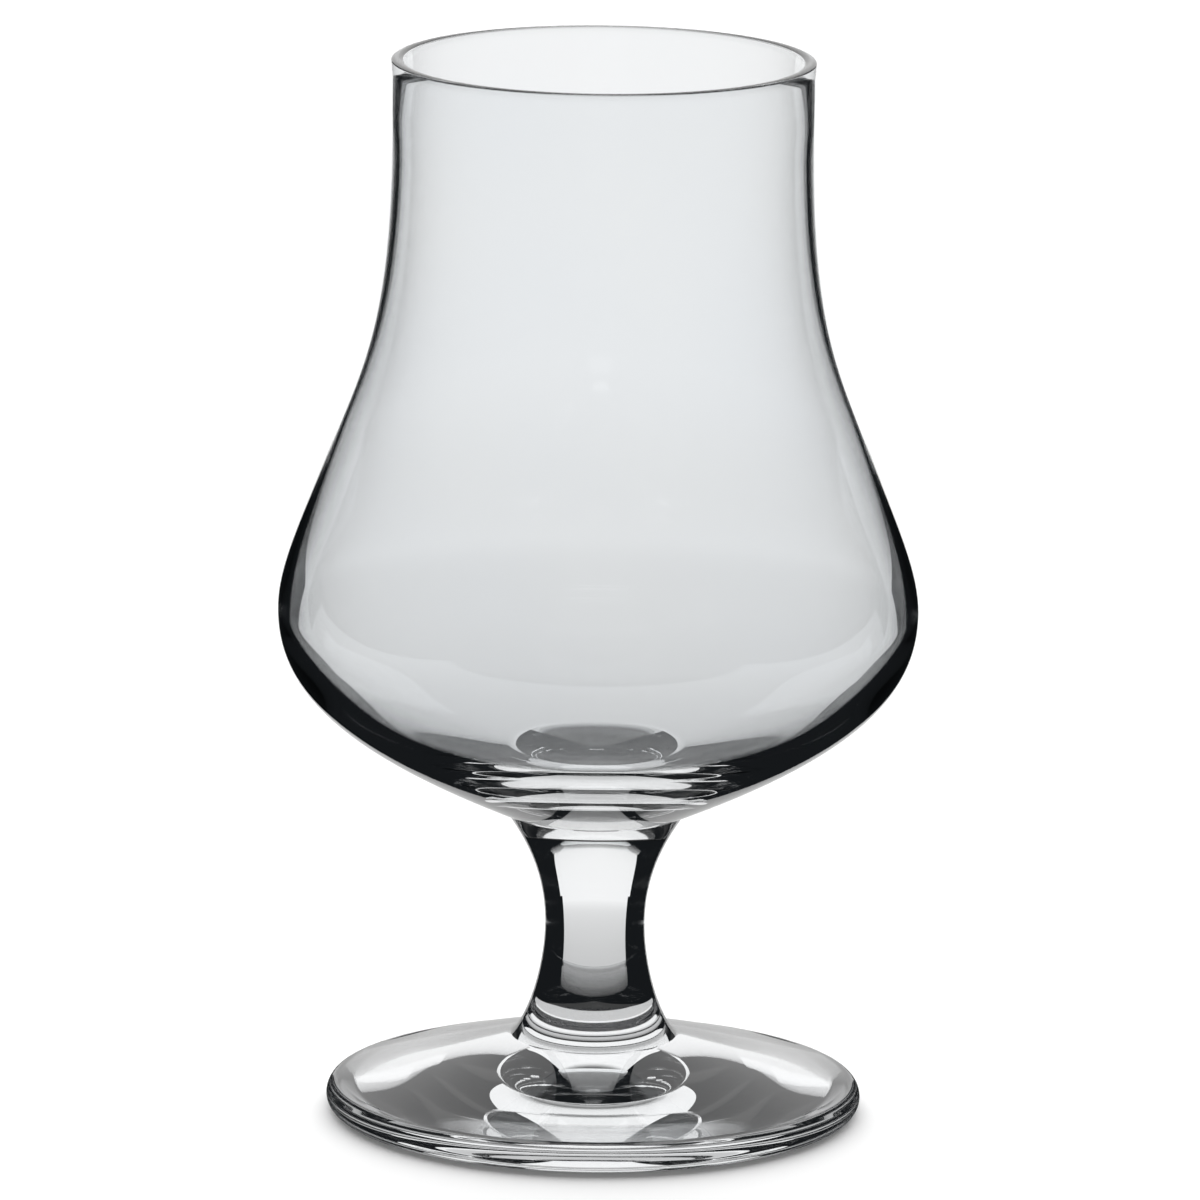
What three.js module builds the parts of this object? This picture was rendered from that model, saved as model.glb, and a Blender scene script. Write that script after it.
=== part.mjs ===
// Tulip glass on a short stem: a blown bowl, a drawn stem and a pressed foot, welded end to end while hot.
// Millimetres, +Z up, origin at the centre of the plane that the foot rests on.
import * as THREE from 'three';

// Foot: a shallow cone with a rounded edge, hollowed underneath so that it stands on a flat ring
const footRadius = 28.75;
const footHeight = 8.25; // up to the weld with the stem
const footEdgeHeight = 3.1; // top of the rounded edge
const footUpperRound = 1.2; // how far the edge's upper rounding reaches in
const footLowerRound = 1.7; // how far its lower rounding reaches in
const restRingWidth = 1.95; // flat ring that touches the table
const puntDepth = 1.85; // hollow under the middle of the foot
const puntEdgeSlope = 10; // degrees above level, where the hollow leaves the flat ring
const footEdgeSlope = 16.5; // degrees above level, just inside the edge
const footWeldSlope = 14.5; // degrees above level, at the weld

// Stem: an hourglass that flares into both welds
const stemLength = 24.5;
const stemFootRadius = 8.9; // weld with the foot
const stemBowlRadius = 9.55; // weld with the bowl
const waistRadius = 5.35;
const waistRise = 12.25; // above the foot's weld
const footFlareSlope = 133.5; // degrees from level, leaning inwards on the way up
const bowlFlareSlope = 55; // degrees from level, leaning outwards on the way up

// Bowl, outside: each rise is counted from the station below it
const bellyRadius = 34.25;
const bellyRise = 22.3; // weld to the widest point
const shoulderRadius = 28.65;
const shoulderRise = 17.6; // widest point to the middle of the shoulder
const shoulderSlope = 110.9; // degrees from level, leaning inwards on the way up
const neckRadius = 22.5;
const neckRise = 33.8; // shoulder to the narrowest point
const rimRadius = 22.55;
const rimRise = 8.05; // narrowest point to the top of the lip
const lipCrown = 0.25; // how far the lip's flat rounding stands above its edges
const rimSlope = 89.2; // degrees from level, just under the lip
const bowlWeldSlope = 23.8; // degrees above level, where the underside leaves the weld

// Bowl, inside: wall thickness at each station, measured level
const rimWall = 1.3;
const neckWall = 0.95;
const shoulderWall = 0.65;
const bellyWall = 1.1;
const floorThickness = 4.6; // solid glass between the weld and the lowest point inside

// Fullness of the curves: each handle's share of the straight distance between the ends of its run
const evenPull = 0.33; // both ends alike, close to an arc
const puntMiddlePull = 0.63;
const puntEdgePull = 0.37;
const footFlarePull = 0.24;
const waistLowerPull = 0.34;
const waistUpperPull = 0.365;
const bowlFlarePull = 0.35;
const bowlWeldPull = 0.645;
const bellyPull = 0.235;
const shoulderLowerPull = 0.47;
const shoulderUpperPull = 0.26;
const neckPull = 0.59;
const inBellyPull = 0.21;
const inFloorPull = 0.6;

// Fineness of the faceted surfaces
const roundSides = 48;
const longSteps = 8;
const shortSteps = 5;
const edgeSteps = 3;
const rimSteps = 2;

// Headings in the half section, in degrees from level
const outward = 0;
const up = 90;
const inward = 180;
const down = 270;
const halfTurn = 180;

function heading(degrees) {
  const angle = THREE.MathUtils.degToRad(degrees);
  return new THREE.Vector2(Math.cos(angle), Math.sin(angle));
}

// A smooth run between two points of the half section, which leaves and arrives along the given headings
function sweep(start, leaveAngle, leavePull, end, arriveAngle, arrivePull) {
  const reach = start.distanceTo(end);
  const leave = start.clone().addScaledVector(heading(leaveAngle), leavePull * reach);
  const arrive = end.clone().addScaledVector(heading(arriveAngle), -arrivePull * reach);
  return new THREE.CubicBezierCurve(start, leave, arrive, end);
}

function straight(start, end) {
  return new THREE.LineCurve(start, end);
}

// Points along a chain of [curve, steps], without doubling the point where two curves meet
function chain(runs) {
  const points = [runs[0][0].getPoint(0)];
  for (const [curve, steps] of runs) {
    points.push(...curve.getPoints(steps).slice(1));
  }
  return points;
}

function footSection() {
  const edgeMiddle = footEdgeHeight / 2;
  const puntMiddle = new THREE.Vector2(0, puntDepth);
  const ringOuter = new THREE.Vector2(footRadius - footLowerRound, 0);
  const ringInner = new THREE.Vector2(ringOuter.x - restRingWidth, 0);
  const edgeTop = new THREE.Vector2(footRadius - footUpperRound, footEdgeHeight);
  const weldEdge = new THREE.Vector2(stemFootRadius, footHeight);
  const weldMiddle = new THREE.Vector2(0, footHeight);

  const punt = sweep(puntMiddle, outward, puntMiddlePull, ringInner, -puntEdgeSlope, puntEdgePull);
  const lowerRound = new THREE.EllipseCurve(
    ringOuter.x, edgeMiddle, footLowerRound, edgeMiddle, -Math.PI / 2, 0,
  );
  const upperRound = new THREE.EllipseCurve(
    edgeTop.x, edgeMiddle, footUpperRound, edgeMiddle, 0, Math.PI / 2,
  );
  const top = sweep(edgeTop, inward - footEdgeSlope, evenPull, weldEdge, inward - footWeldSlope, evenPull);
  return chain([
    [punt, longSteps],
    [straight(ringInner, ringOuter), 1],
    [lowerRound, edgeSteps],
    [upperRound, edgeSteps],
    [top, shortSteps],
    [straight(weldEdge, weldMiddle), 1],
  ]);
}

function stemSection() {
  const footMiddle = new THREE.Vector2(0, 0);
  const footWeld = new THREE.Vector2(stemFootRadius, 0);
  const waist = new THREE.Vector2(waistRadius, waistRise);
  const bowlWeld = new THREE.Vector2(stemBowlRadius, stemLength);
  const bowlMiddle = new THREE.Vector2(0, stemLength);
  return chain([
    [straight(footMiddle, footWeld), 1],
    [sweep(footWeld, footFlareSlope, footFlarePull, waist, up, waistLowerPull), shortSteps],
    [sweep(waist, up, waistUpperPull, bowlWeld, bowlFlareSlope, bowlFlarePull), shortSteps],
    [straight(bowlWeld, bowlMiddle), 1],
  ]);
}

function bowlSection() {
  const shoulderHeight = bellyRise + shoulderRise;
  const neckHeight = shoulderHeight + neckRise;
  const lipRound = rimWall / 2;
  const lipHeight = neckHeight + rimRise - lipCrown;
  const weldMiddle = new THREE.Vector2(0, 0);

  // Outside, from the weld up to the lip
  const weld = new THREE.Vector2(stemBowlRadius, 0);
  const belly = new THREE.Vector2(bellyRadius, bellyRise);
  const shoulder = new THREE.Vector2(shoulderRadius, shoulderHeight);
  const neck = new THREE.Vector2(neckRadius, neckHeight);
  const lip = new THREE.Vector2(rimRadius, lipHeight);

  // Inside, from the lip down to the floor
  const inLip = new THREE.Vector2(rimRadius - rimWall, lipHeight);
  const inNeck = new THREE.Vector2(neckRadius - neckWall, neckHeight);
  const inShoulder = new THREE.Vector2(shoulderRadius - shoulderWall, shoulderHeight);
  const inBelly = new THREE.Vector2(bellyRadius - bellyWall, bellyRise);
  const inFloor = new THREE.Vector2(0, floorThickness);

  const lipRounding = new THREE.EllipseCurve(
    rimRadius - lipRound, lipHeight, lipRound, lipCrown, 0, Math.PI,
  );
  const shoulderBack = shoulderSlope + halfTurn;
  return chain([
    [straight(weldMiddle, weld), 1],
    [sweep(weld, bowlWeldSlope, bowlWeldPull, belly, up, bellyPull), longSteps],
    [sweep(belly, up, bellyPull, shoulder, shoulderSlope, shoulderLowerPull), shortSteps],
    [sweep(shoulder, shoulderSlope, shoulderUpperPull, neck, up, neckPull), longSteps],
    [sweep(neck, up, evenPull, lip, rimSlope, evenPull), rimSteps],
    [lipRounding, 2 * edgeSteps],
    [sweep(inLip, rimSlope + halfTurn, evenPull, inNeck, down, evenPull), rimSteps],
    [sweep(inNeck, down, neckPull, inShoulder, shoulderBack, shoulderUpperPull), longSteps],
    [sweep(inShoulder, shoulderBack, shoulderLowerPull, inBelly, down, bellyPull), shortSteps],
    [sweep(inBelly, down, inBellyPull, inFloor, inward, inFloorPull), longSteps],
  ]);
}

// A named piece of clear glass, turned about the Z axis and standing at a height above the table
function piece(name, section, colour, height) {
  const geometry = new THREE.LatheGeometry(section, roundSides).rotateX(Math.PI / 2);
  const material = new THREE.MeshStandardMaterial({
    color: colour,
    roughness: 0.04,
    metalness: 0,
    transparent: true,
    opacity: 0.35,
  });
  const mesh = new THREE.Mesh(geometry, material);
  mesh.name = name;
  mesh.position.z = height;
  return mesh;
}

const tulipGlass = new THREE.Group();
tulipGlass.add(piece('foot', footSection(), 0xe6eaea, 0));
tulipGlass.add(piece('stem', stemSection(), 0xe2e8ea, footHeight));
tulipGlass.add(piece('bowl', bowlSection(), 0xe4e8ea, footHeight + stemLength));

export default tulipGlass;
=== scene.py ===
import math
import bmesh
import bpy
from mathutils import Euler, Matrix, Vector
from mathutils.geometry import interpolate_bezier


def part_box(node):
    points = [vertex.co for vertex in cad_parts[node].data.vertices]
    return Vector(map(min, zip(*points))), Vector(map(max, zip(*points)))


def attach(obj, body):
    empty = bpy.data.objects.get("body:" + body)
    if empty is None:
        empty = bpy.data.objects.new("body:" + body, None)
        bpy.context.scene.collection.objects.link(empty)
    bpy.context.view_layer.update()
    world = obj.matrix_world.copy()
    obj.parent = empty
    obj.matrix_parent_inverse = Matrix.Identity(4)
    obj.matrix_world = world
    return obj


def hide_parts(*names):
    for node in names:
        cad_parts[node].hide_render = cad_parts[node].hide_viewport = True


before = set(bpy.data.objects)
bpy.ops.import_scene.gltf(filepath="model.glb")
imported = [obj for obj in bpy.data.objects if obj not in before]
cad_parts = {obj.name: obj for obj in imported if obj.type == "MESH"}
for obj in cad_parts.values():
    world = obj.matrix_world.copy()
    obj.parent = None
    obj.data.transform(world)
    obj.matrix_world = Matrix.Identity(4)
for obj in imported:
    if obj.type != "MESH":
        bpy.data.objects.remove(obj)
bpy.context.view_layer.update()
scene = bpy.context.scene
mm = 0.001
print("frame loaded, nodes:", sorted(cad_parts))


# Colours and nodes

def fromHex(code):
    parts = [int(code[i:i + 2], 16) / 255 for i in (1, 3, 5)]
    linear = [c / 12.92 if c <= 0.04045 else ((c + 0.055) / 1.055) ** 2.4 for c in parts]
    return (*linear, 1.0)


def addNode(tree, kind, settings=None, links=None):
    node = tree.nodes.new(kind)
    for name, value in (settings or {}).items():
        if isinstance(name, int) or name in node.inputs:
            node.inputs[name].default_value = value
        else:
            setattr(node, name, value)
    for name, source in (links or {}).items():
        tree.links.new(source, node.inputs[name])
    return node


def newMaterial(name):
    material = bpy.data.materials.new(name)
    material.use_nodes = True
    material.node_tree.nodes.clear()
    return material, material.node_tree


# Soda-lime glass, blown, drawn and fire-polished: clear with a faint cool cast, mirror smooth
# with a breath of bloom in places, and with the slow waves that a blown wall keeps
glassLook = {
    "clearTint": "#feffff",
    "deepTint": "#fafcfe",
    "tintPatch": 25,      # mm across a patch of colour
    "ior": 1.52,
    "roughLow": 0.0,
    "roughHigh": 0.012,
    "roughPatch": 9,      # mm across a patch of bloom
    "bloomFrom": 0.5,     # share of the noise where the bloom begins
    "bloomFull": 0.8,
    "waveLength": 18,     # mm
    "waveHeight": 0.006,  # mm
}


def makeGlass():
    material, tree = newMaterial("sodaLimeGlassFirePolished")
    place = addNode(tree, "ShaderNodeTexCoord").outputs["Object"]
    patch = addNode(tree, "ShaderNodeTexNoise",
                    {"Scale": 1 / (glassLook["tintPatch"] * mm), "Detail": 1.0},
                    {"Vector": place}).outputs["Fac"]
    tint = addNode(tree, "ShaderNodeMix",
                   {"data_type": "RGBA", 6: fromHex(glassLook["clearTint"]),
                    7: fromHex(glassLook["deepTint"])}, {0: patch}).outputs[2]
    bloom = addNode(tree, "ShaderNodeTexNoise",
                    {"Scale": 1 / (glassLook["roughPatch"] * mm), "Detail": 2.0},
                    {"Vector": place}).outputs["Fac"]
    rough = addNode(tree, "ShaderNodeMapRange",
                    {"From Min": glassLook["bloomFrom"], "From Max": glassLook["bloomFull"],
                     "To Min": glassLook["roughLow"], "To Max": glassLook["roughHigh"]},
                    {"Value": bloom}).outputs["Result"]
    wave = addNode(tree, "ShaderNodeTexNoise",
                   {"Scale": 1 / (glassLook["waveLength"] * mm), "Detail": 0.0},
                   {"Vector": place}).outputs["Fac"]
    bump = addNode(tree, "ShaderNodeBump",
                   {"Strength": 1.0, "Distance": glassLook["waveHeight"] * mm},
                   {"Height": wave}).outputs["Normal"]
    shader = addNode(tree, "ShaderNodeBsdfPrincipled",
                     {"IOR": glassLook["ior"], "Transmission Weight": 1.0},
                     {"Base Color": tint, "Roughness": rough, "Normal": bump})
    addNode(tree, "ShaderNodeOutputMaterial", links={"Surface": shader.outputs["BSDF"]})
    return material


def makeWeld():
    # The faces where two hot pieces ran into one: nothing is seen there, light goes straight on
    material, tree = newMaterial("fusedGlassWeld")
    clear = addNode(tree, "ShaderNodeBsdfTransparent")
    addNode(tree, "ShaderNodeOutputMaterial", links={"Surface": clear.outputs["BSDF"]})
    return material


glass = makeGlass()
weld = makeWeld()
print("glass ready")


# Half sections, in mm: x is the distance from the axis, y the height above the table

quarterPull = 0.5523             # handle length that makes a quarter of an ellipse
outward, up, inward, down = 0, 90, 180, 270   # degrees
halfTurn = 180
mergeGap = 0.0005 * mm           # points closer than this become one
weldGap = 0.001 * mm             # a face this close to a weld's height lies on it
creaseAngle = math.radians(30)   # sharper edges stay crisp


def heading(degrees):
    angle = math.radians(degrees)
    return Vector((math.cos(angle), math.sin(angle)))


def sweep(start, leaveAngle, leavePull, end, arriveAngle, arrivePull, steps):
    reach = (end - start).length
    leave = start + heading(leaveAngle) * leavePull * reach
    arrive = end - heading(arriveAngle) * arrivePull * reach
    return interpolate_bezier(start, leave, arrive, end, steps + 1)


def quarter(start, corner, end, steps):
    leave = start + (corner - start) * quarterPull
    arrive = end + (corner - end) * quarterPull
    return interpolate_bezier(start, leave, arrive, end, steps + 1)


def turned(name, runs, welds, sides):
    section = [runs[0][0]]
    for run in runs:
        section.extend(run[1:])
    bm = bmesh.new()
    verts = [bm.verts.new((p.x * mm, 0, p.y * mm)) for p in section]
    edges = [bm.edges.new(pair) for pair in zip(verts, verts[1:])]
    bmesh.ops.spin(bm, geom=verts + edges, cent=(0, 0, 0), axis=(0, 0, 1), angle=2 * math.pi,
                   steps=sides, use_merge=True)
    bmesh.ops.remove_doubles(bm, verts=bm.verts, dist=mergeGap)
    bmesh.ops.recalc_face_normals(bm, faces=bm.faces)
    for face in bm.faces:
        face.smooth = True
        onWeld = any(all(abs(v.co.z - height * mm) < weldGap for v in face.verts) for height in welds)
        face.material_index = 1 if onWeld else 0
    for edge in bm.edges:
        edge.smooth = edge.calc_face_angle(0) < creaseAngle
    mesh = bpy.data.meshes.new(name)
    bm.to_mesh(mesh)
    bm.free()
    mesh.materials.append(glass)
    mesh.materials.append(weld)
    piece = bpy.data.objects.new(name, mesh)
    scene.collection.objects.link(piece)
    return piece


def point(x, y):
    return Vector((x, y))


def boxInMm(node):
    low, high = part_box(node)
    return low / mm, high / mm


footLow, footHigh = boxInMm("foot")
stemLow, stemHigh = boxInMm("stem")
bowlLow, bowlHigh = boxInMm("bowl")

foot = {
    "edgeHeight": 3.1,    # top of the rounded edge
    "upperRound": 1.2,
    "lowerRound": 1.7,
    "restRing": 1.95,     # flat ring that touches the table
    "punt": 1.85,         # hollow under the middle
    "puntSlope": 10,      # degrees, where it leaves the flat ring
    "middlePull": 0.63,
    "ringPull": 0.37,
    "edgeSlope": 16.5,    # degrees
    "weldSlope": 14.5,
    "pull": 0.33,
    "weldRadius": 8.9,
    "sides": 288,
    "puntSteps": 60,
    "edgeSteps": 24,      # each quarter of the edge
    "topSteps": 40,
}


def makeFoot():
    outer, top = footHigh.x, footHigh.z
    middle = foot["edgeHeight"] / 2
    ringOuter = point(outer - foot["lowerRound"], 0)
    ringInner = point(ringOuter.x - foot["restRing"], 0)
    puntMiddle = point(0, foot["punt"])
    edge = point(outer, middle)
    edgeTop = point(outer - foot["upperRound"], foot["edgeHeight"])
    weldEdge = point(foot["weldRadius"], top)
    return turned("foot_pressed", [
        sweep(puntMiddle, outward, foot["middlePull"], ringInner, -foot["puntSlope"],
              foot["ringPull"], foot["puntSteps"]),
        [ringInner, ringOuter],
        quarter(ringOuter, point(outer, 0), edge, foot["edgeSteps"]),
        quarter(edge, point(outer, foot["edgeHeight"]), edgeTop, foot["edgeSteps"]),
        sweep(edgeTop, inward - foot["edgeSlope"], foot["pull"], weldEdge, inward - foot["weldSlope"],
              foot["pull"], foot["topSteps"]),
        [weldEdge, point(0, top)],
    ], [top], foot["sides"])


stem = {
    "footRadius": 8.9,
    "waistRadius": 5.35,
    "waistRise": 12.25,     # above the foot's weld
    "footFlare": 133.5,     # degrees from level
    "bowlFlare": 55,
    "footPull": 0.24,
    "waistLowPull": 0.34,
    "waistHighPull": 0.365,
    "bowlPull": 0.35,
    "sides": 192,
    "flareSteps": 28,       # weld to waist
}


def makeStem():
    low, high = stemLow.z, stemHigh.z
    footWeld = point(stem["footRadius"], low)
    waist = point(stem["waistRadius"], low + stem["waistRise"])
    bowlWeld = point(stemHigh.x, high)
    return turned("stem_drawn", [
        [point(0, low), footWeld],
        sweep(footWeld, stem["footFlare"], stem["footPull"], waist, up, stem["waistLowPull"],
              stem["flareSteps"]),
        sweep(waist, up, stem["waistHighPull"], bowlWeld, stem["bowlFlare"], stem["bowlPull"],
              stem["flareSteps"]),
        [bowlWeld, point(0, high)],
    ], [low, high], stem["sides"])


bowl = {
    "weldRadius": 9.55,
    "bellyRise": 22.3,       # weld to the widest point
    "shoulderRadius": 28.65,
    "shoulderRise": 17.6,    # widest point to the middle of the shoulder
    "shoulderSlope": 110.9,  # degrees from level
    "neckRadius": 22.5,
    "neckRise": 33.8,
    "rimRadius": 22.55,
    "rimSlope": 89.2,
    "weldSlope": 23.8,
    "rimWall": 1.3,
    "lipCrown": 0.25,        # how far the lip's rounding stands above its edges
    "neckWall": 0.95,
    "shoulderWall": 0.65,
    "bellyWall": 1.1,
    "floor": 4.6,            # solid glass above the weld
    "weldPull": 0.645,
    "bellyPull": 0.235,
    "shoulderLowPull": 0.47,
    "shoulderHighPull": 0.26,
    "neckPull": 0.59,
    "evenPull": 0.33,
    "inBellyPull": 0.21,
    "inFloorPull": 0.6,
    "sides": 288,
    "underSteps": 60,
    "shoulderSteps": 20,
    "neckSteps": 28,
    "lipSteps": 6,
    "floorSteps": 64,
}


def makeBowl():
    low, high = bowlLow.z, bowlHigh.z
    lipRound = bowl["rimWall"] / 2
    bellyZ = low + bowl["bellyRise"]
    shoulderZ = bellyZ + bowl["shoulderRise"]
    neckZ = shoulderZ + bowl["neckRise"]
    lipZ = high - bowl["lipCrown"]
    weldEdge = point(bowl["weldRadius"], low)
    belly = point(bowlHigh.x, bellyZ)
    shoulder = point(bowl["shoulderRadius"], shoulderZ)
    neck = point(bowl["neckRadius"], neckZ)
    lip = point(bowl["rimRadius"], lipZ)
    lipTop = point(bowl["rimRadius"] - lipRound, high)
    inLip = point(bowl["rimRadius"] - bowl["rimWall"], lipZ)
    inNeck = point(bowl["neckRadius"] - bowl["neckWall"], neckZ)
    inShoulder = point(bowl["shoulderRadius"] - bowl["shoulderWall"], shoulderZ)
    inBelly = point(bowlHigh.x - bowl["bellyWall"], bellyZ)
    inFloor = point(0, low + bowl["floor"])
    shoulderSlope = bowl["shoulderSlope"]
    shoulderBack = shoulderSlope + halfTurn
    even = bowl["evenPull"]
    neckSteps, lipSteps = bowl["neckSteps"], bowl["lipSteps"]
    return turned("bowl_blown", [
        [point(0, low), weldEdge],
        sweep(weldEdge, bowl["weldSlope"], bowl["weldPull"], belly, up, bowl["bellyPull"],
              bowl["underSteps"]),
        sweep(belly, up, bowl["bellyPull"], shoulder, shoulderSlope, bowl["shoulderLowPull"],
              bowl["shoulderSteps"]),
        sweep(shoulder, shoulderSlope, bowl["shoulderHighPull"], neck, up, bowl["neckPull"], neckSteps),
        sweep(neck, up, even, lip, bowl["rimSlope"], even, lipSteps),
        quarter(lip, point(lip.x, high), lipTop, lipSteps),
        quarter(lipTop, point(inLip.x, high), inLip, lipSteps),
        sweep(inLip, bowl["rimSlope"] + halfTurn, even, inNeck, down, even, lipSteps),
        sweep(inNeck, down, bowl["neckPull"], inShoulder, shoulderBack, bowl["shoulderHighPull"], neckSteps),
        sweep(inShoulder, shoulderBack, bowl["shoulderLowPull"], inBelly, down, bowl["bellyPull"],
              bowl["shoulderSteps"]),
        sweep(inBelly, down, bowl["inBellyPull"], inFloor, inward, bowl["inFloorPull"],
              bowl["floorSteps"]),
    ], [low], bowl["sides"])


for piece, node in ((makeFoot(), "foot"), (makeStem(), "stem"), (makeBowl(), "bowl")):
    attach(piece, "root")
    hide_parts(node)
    piece.visible_shadow = node == "foot"   # only the foot leaves its soft shadow, close round it
    print(piece.name, "faces", len(piece.data.polygons))


# Camera: a long lens, looking slightly down

camera = {
    "lens": 346.13,           # mm
    "sensor": 36,
    "clip": (0.05, 50),       # m
    "distance": 1233.1,       # mm from the point looked at
    "elevation": 12.2086,     # degrees
    "aim": (0.18, 0, 55.94),  # mm
    "roll": 0.62,             # degrees
}


def makeCamera():
    data = bpy.data.cameras.new("camera")
    data.lens = camera["lens"]
    data.sensor_width = camera["sensor"]
    data.clip_start, data.clip_end = camera["clip"]
    rig = bpy.data.objects.new("camera", data)
    scene.collection.objects.link(rig)
    rise = math.radians(camera["elevation"])
    back = Vector((0, -math.cos(rise), math.sin(rise)))
    rig.location = (Vector(camera["aim"]) + back * camera["distance"]) * mm
    roll = Euler((0, 0, math.radians(camera["roll"]))).to_quaternion()
    rig.rotation_euler = ((-back).to_track_quat("-Z", "Y") @ roll).to_euler()
    scene.camera = rig
    return rig


# Studio: a white table and a bright backdrop, one soft lamp behind, and dark felt round the glass that is
# seen in the glass alone; the felt turns with the camera, as when a glass is turned before a fixed set

studio = {
    "tableSize": 6.0,          # m
    "tableGap": 0.03,          # mm of air under the foot
    "tablePaint": "#e7e7e7",
    "tableCells": 8,
    "tableGlow": 0.12,         # lifts the open table to white, outside the glass
    "tablePaintedShadeInGlass": (             # as seen in the glass: mm from the axis, brightness; painted shade under the foot, and darker towards the glass beyond it
        (0, 0.05), (26, 0.06), (29, 0.62), (60, 0.70), (95, 0.75), (260, 0.91), (350, 0.95), (460, 1.0),
    ),
    "feltOpening": 0.54,       # the sheet's opening widens backwards by this share each side
    "feltStart": 5,            # mm behind the axis
    "feltDrop": 0.015,         # mm below the foot, just clear of the table
    "lampStrength": 6.2,
    "lampElevation": 38,       # degrees
    "lampSoftness": 85,        # degrees across
    "ambient": 0.12,           # light of the room on the table
    "backdropTop": 51,         # degrees above level where the bright backdrop ends
    "backdropEdge": 3,         # degrees of soft edge
    "roomGrey": 0.05,          # above the backdrop
    "flagSide": 46.7,          # mm from the glass's axis to each side flag
    "flagBack": 86,            # mm behind the axis
    "flagFront": 150,          # mm before it
    "flagTop": 260,            # mm above the table
    "flagBlack": "#16181a",
    "bounces": 32,             # light crosses many faces in the thick base
}


# The table: matt white paper to the camera; in the glass an emission ramp with painted shade under the foot
def makeTable():
    bm = bmesh.new()
    cells = studio["tableCells"]
    bmesh.ops.create_grid(bm, x_segments=cells, y_segments=cells, size=studio["tableSize"])
    mesh = bpy.data.meshes.new("table")
    bm.to_mesh(mesh)
    bm.free()
    table = bpy.data.objects.new("table", mesh)
    table.location.z = -studio["tableGap"] * mm
    scene.collection.objects.link(table)
    material, tree = newMaterial("mattWhitePaperPaintedShadeInGlass")
    rays = addNode(tree, "ShaderNodeLightPath").outputs
    place = addNode(tree, "ShaderNodeTexCoord").outputs["Object"]
    reach = studio["tablePaintedShadeInGlass"][-1][0]
    away = addNode(tree, "ShaderNodeVectorMath", {"operation": "LENGTH"}, {0: place})
    share = addNode(tree, "ShaderNodeMath", {"operation": "DIVIDE", 1: reach * mm},
                    {0: away.outputs["Value"]})
    # painted shade: the table seen in the glass is dark under the foot and lighter away from the axis
    paintedShadeRamp = addNode(tree, "ShaderNodeValToRGB", links={"Fac": share.outputs["Value"]})
    stops = paintedShadeRamp.color_ramp.elements
    while len(stops) < len(studio["tablePaintedShadeInGlass"]):
        stops.new(1.0)
    for stop, (distance, grey) in zip(stops, studio["tablePaintedShadeInGlass"]):
        stop.position = distance / reach
        stop.color = (grey, grey, grey, 1)
    paint = addNode(tree, "ShaderNodeBsdfDiffuse", {"Color": fromHex(studio["tablePaint"])})
    glow = addNode(tree, "ShaderNodeEmission", {"Strength": studio["tableGlow"]})
    lit = addNode(tree, "ShaderNodeAddShader", links={0: paint.outputs[0], 1: glow.outputs[0]})
    # the table as the glass shows it: an emission carrying the painted shade under the foot
    inGlass = addNode(tree, "ShaderNodeEmission", links={"Color": paintedShadeRamp.outputs["Color"]})
    throughGlass = addNode(tree, "ShaderNodeMath", {"operation": "MAXIMUM"},
                           {0: rays["Is Glossy Ray"], 1: rays["Is Transmission Ray"]})
    surface = addNode(tree, "ShaderNodeMixShader",
                      links={0: throughGlass.outputs[0], 1: lit.outputs[0], 2: inGlass.outputs[0]})
    addNode(tree, "ShaderNodeOutputMaterial", links={"Surface": surface.outputs[0]})
    mesh.materials.append(material)


def makeTurntable(rig):
    turntable = bpy.data.objects.new("turntable", None)
    scene.collection.objects.link(turntable)
    follow = turntable.constraints.new("LOCKED_TRACK")
    follow.target = rig
    follow.track_axis = "TRACK_NEGATIVE_Y"
    follow.lock_axis = "LOCK_Z"
    return turntable


def addFlag(name, bm, material, turntable):
    mesh = bpy.data.meshes.new(name)
    bm.to_mesh(mesh)
    bm.free()
    mesh.materials.append(material)
    flag = bpy.data.objects.new(name, mesh)
    scene.collection.objects.link(flag)
    flag.parent = turntable
    flag.visible_camera = False
    flag.visible_diffuse = False
    flag.visible_shadow = False


def makeFlags(turntable):
    material, tree = newMaterial("blackFlagFelt")
    black = addNode(tree, "ShaderNodeEmission", {"Color": fromHex(studio["flagBlack"])})
    addNode(tree, "ShaderNodeOutputMaterial", links={"Surface": black.outputs[0]})
    side, back = studio["flagSide"] * mm, studio["flagBack"] * mm
    front, top = studio["flagFront"] * mm, studio["flagTop"] * mm
    for name, start, end in (
        ("flagLeft", (-side, back), (-side, -front)),
        ("flagRight", (side, back), (side, -front)),
        ("flagFront", (-side, -front), (side, -front)),
    ):
        bm = bmesh.new()
        edge = bm.edges.new([bm.verts.new((x, y, 0)) for x, y in (start, end)])
        raised = bmesh.ops.extrude_edge_only(bm, edges=[edge])["geom"]
        corners = [v for v in raised if isinstance(v, bmesh.types.BMVert)]
        bmesh.ops.translate(bm, vec=(0, 0, top), verts=corners)
        addFlag(name, bm, material, turntable)
    # A sheet of felt on the table, with an opening behind the glass
    far, start = studio["tableSize"], studio["feltStart"] * mm
    wide = studio["feltOpening"] * (far - start)
    outline = ((0, start), (-wide, far), (-far, far), (-far, -far), (far, -far), (far, far), (wide, far))
    bm = bmesh.new()
    bm.faces.new([bm.verts.new((x, y, -studio["feltDrop"] * mm)) for x, y in outline])
    addFlag("tableFelt", bm, material, turntable)


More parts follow.
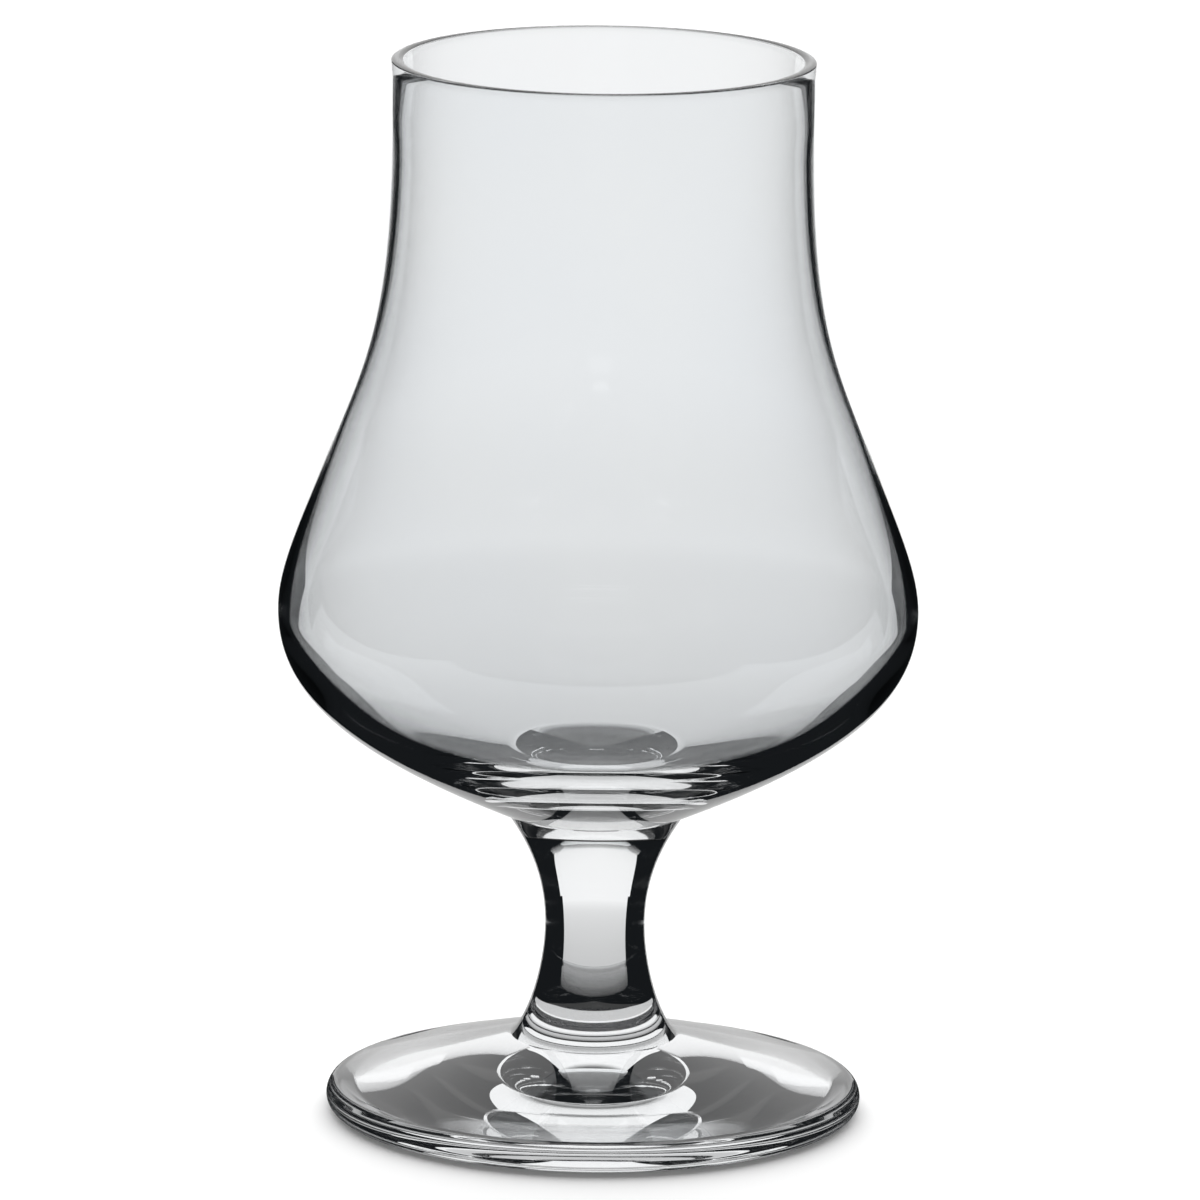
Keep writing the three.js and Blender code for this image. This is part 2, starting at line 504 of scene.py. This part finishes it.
def makeLamp():
    data = bpy.data.lights.new("softLamp", "SUN")
    data.energy = studio["lampStrength"]
    data.angle = math.radians(studio["lampSoftness"])
    lamp = bpy.data.objects.new("softLamp", data)
    scene.collection.objects.link(lamp)
    rise = math.radians(studio["lampElevation"])
    towards = Vector((0, math.cos(rise), math.sin(rise)))   # behind the glass: the shadow falls forward
    lamp.rotation_euler = towards.to_track_quat("Z", "Y").to_euler()
    lamp.visible_glossy = False
    lamp.visible_transmission = False


def makeRoom():
    world = bpy.data.worlds.new("whiteRoom")
    world.use_nodes = True
    scene.world = world
    tree = world.node_tree
    tree.nodes.clear()
    rays = addNode(tree, "ShaderNodeLightPath").outputs
    place = addNode(tree, "ShaderNodeTexCoord").outputs["Generated"]
    height = addNode(tree, "ShaderNodeSeparateXYZ", links={"Vector": place}).outputs["Z"]
    shade = addNode(tree, "ShaderNodeMapRange",
                    {"interpolation_type": "SMOOTHSTEP",
                     "From Min": math.sin(math.radians(studio["backdropTop"])),
                     "From Max": math.sin(math.radians(studio["backdropTop"] + studio["backdropEdge"])),
                     "To Min": 1.0, "To Max": studio["roomGrey"]}, {"Value": height}).outputs["Result"]
    seen = addNode(tree, "ShaderNodeBackground", {"Color": (1, 1, 1, 1)}, {"Strength": shade})
    white = addNode(tree, "ShaderNodeBackground", {"Color": (1, 1, 1, 1), "Strength": 1.0})
    soft = addNode(tree, "ShaderNodeBackground", {"Color": (1, 1, 1, 1), "Strength": studio["ambient"]})
    throughGlass = addNode(tree, "ShaderNodeMath", {"operation": "MAXIMUM"},
                           {0: rays["Is Glossy Ray"], 1: rays["Is Transmission Ray"]})
    inGlass = addNode(tree, "ShaderNodeMixShader",
                      links={0: throughGlass.outputs[0], 1: soft.outputs[0], 2: seen.outputs[0]})
    shown = addNode(tree, "ShaderNodeMixShader",
                    links={0: rays["Is Camera Ray"], 1: inGlass.outputs[0], 2: white.outputs[0]})
    addNode(tree, "ShaderNodeOutputWorld", links={"Surface": shown.outputs[0]})


turntable = makeTurntable(makeCamera())
makeTable()
makeFlags(turntable)
makeLamp()
makeRoom()
scene.view_settings.view_transform = "Standard"
scene.cycles.max_bounces = studio["bounces"]
scene.cycles.transmission_bounces = studio["bounces"]
scene.cycles.glossy_bounces = studio["bounces"]
scene.cycles.transparent_max_bounces = studio["bounces"]
print("studio ready")
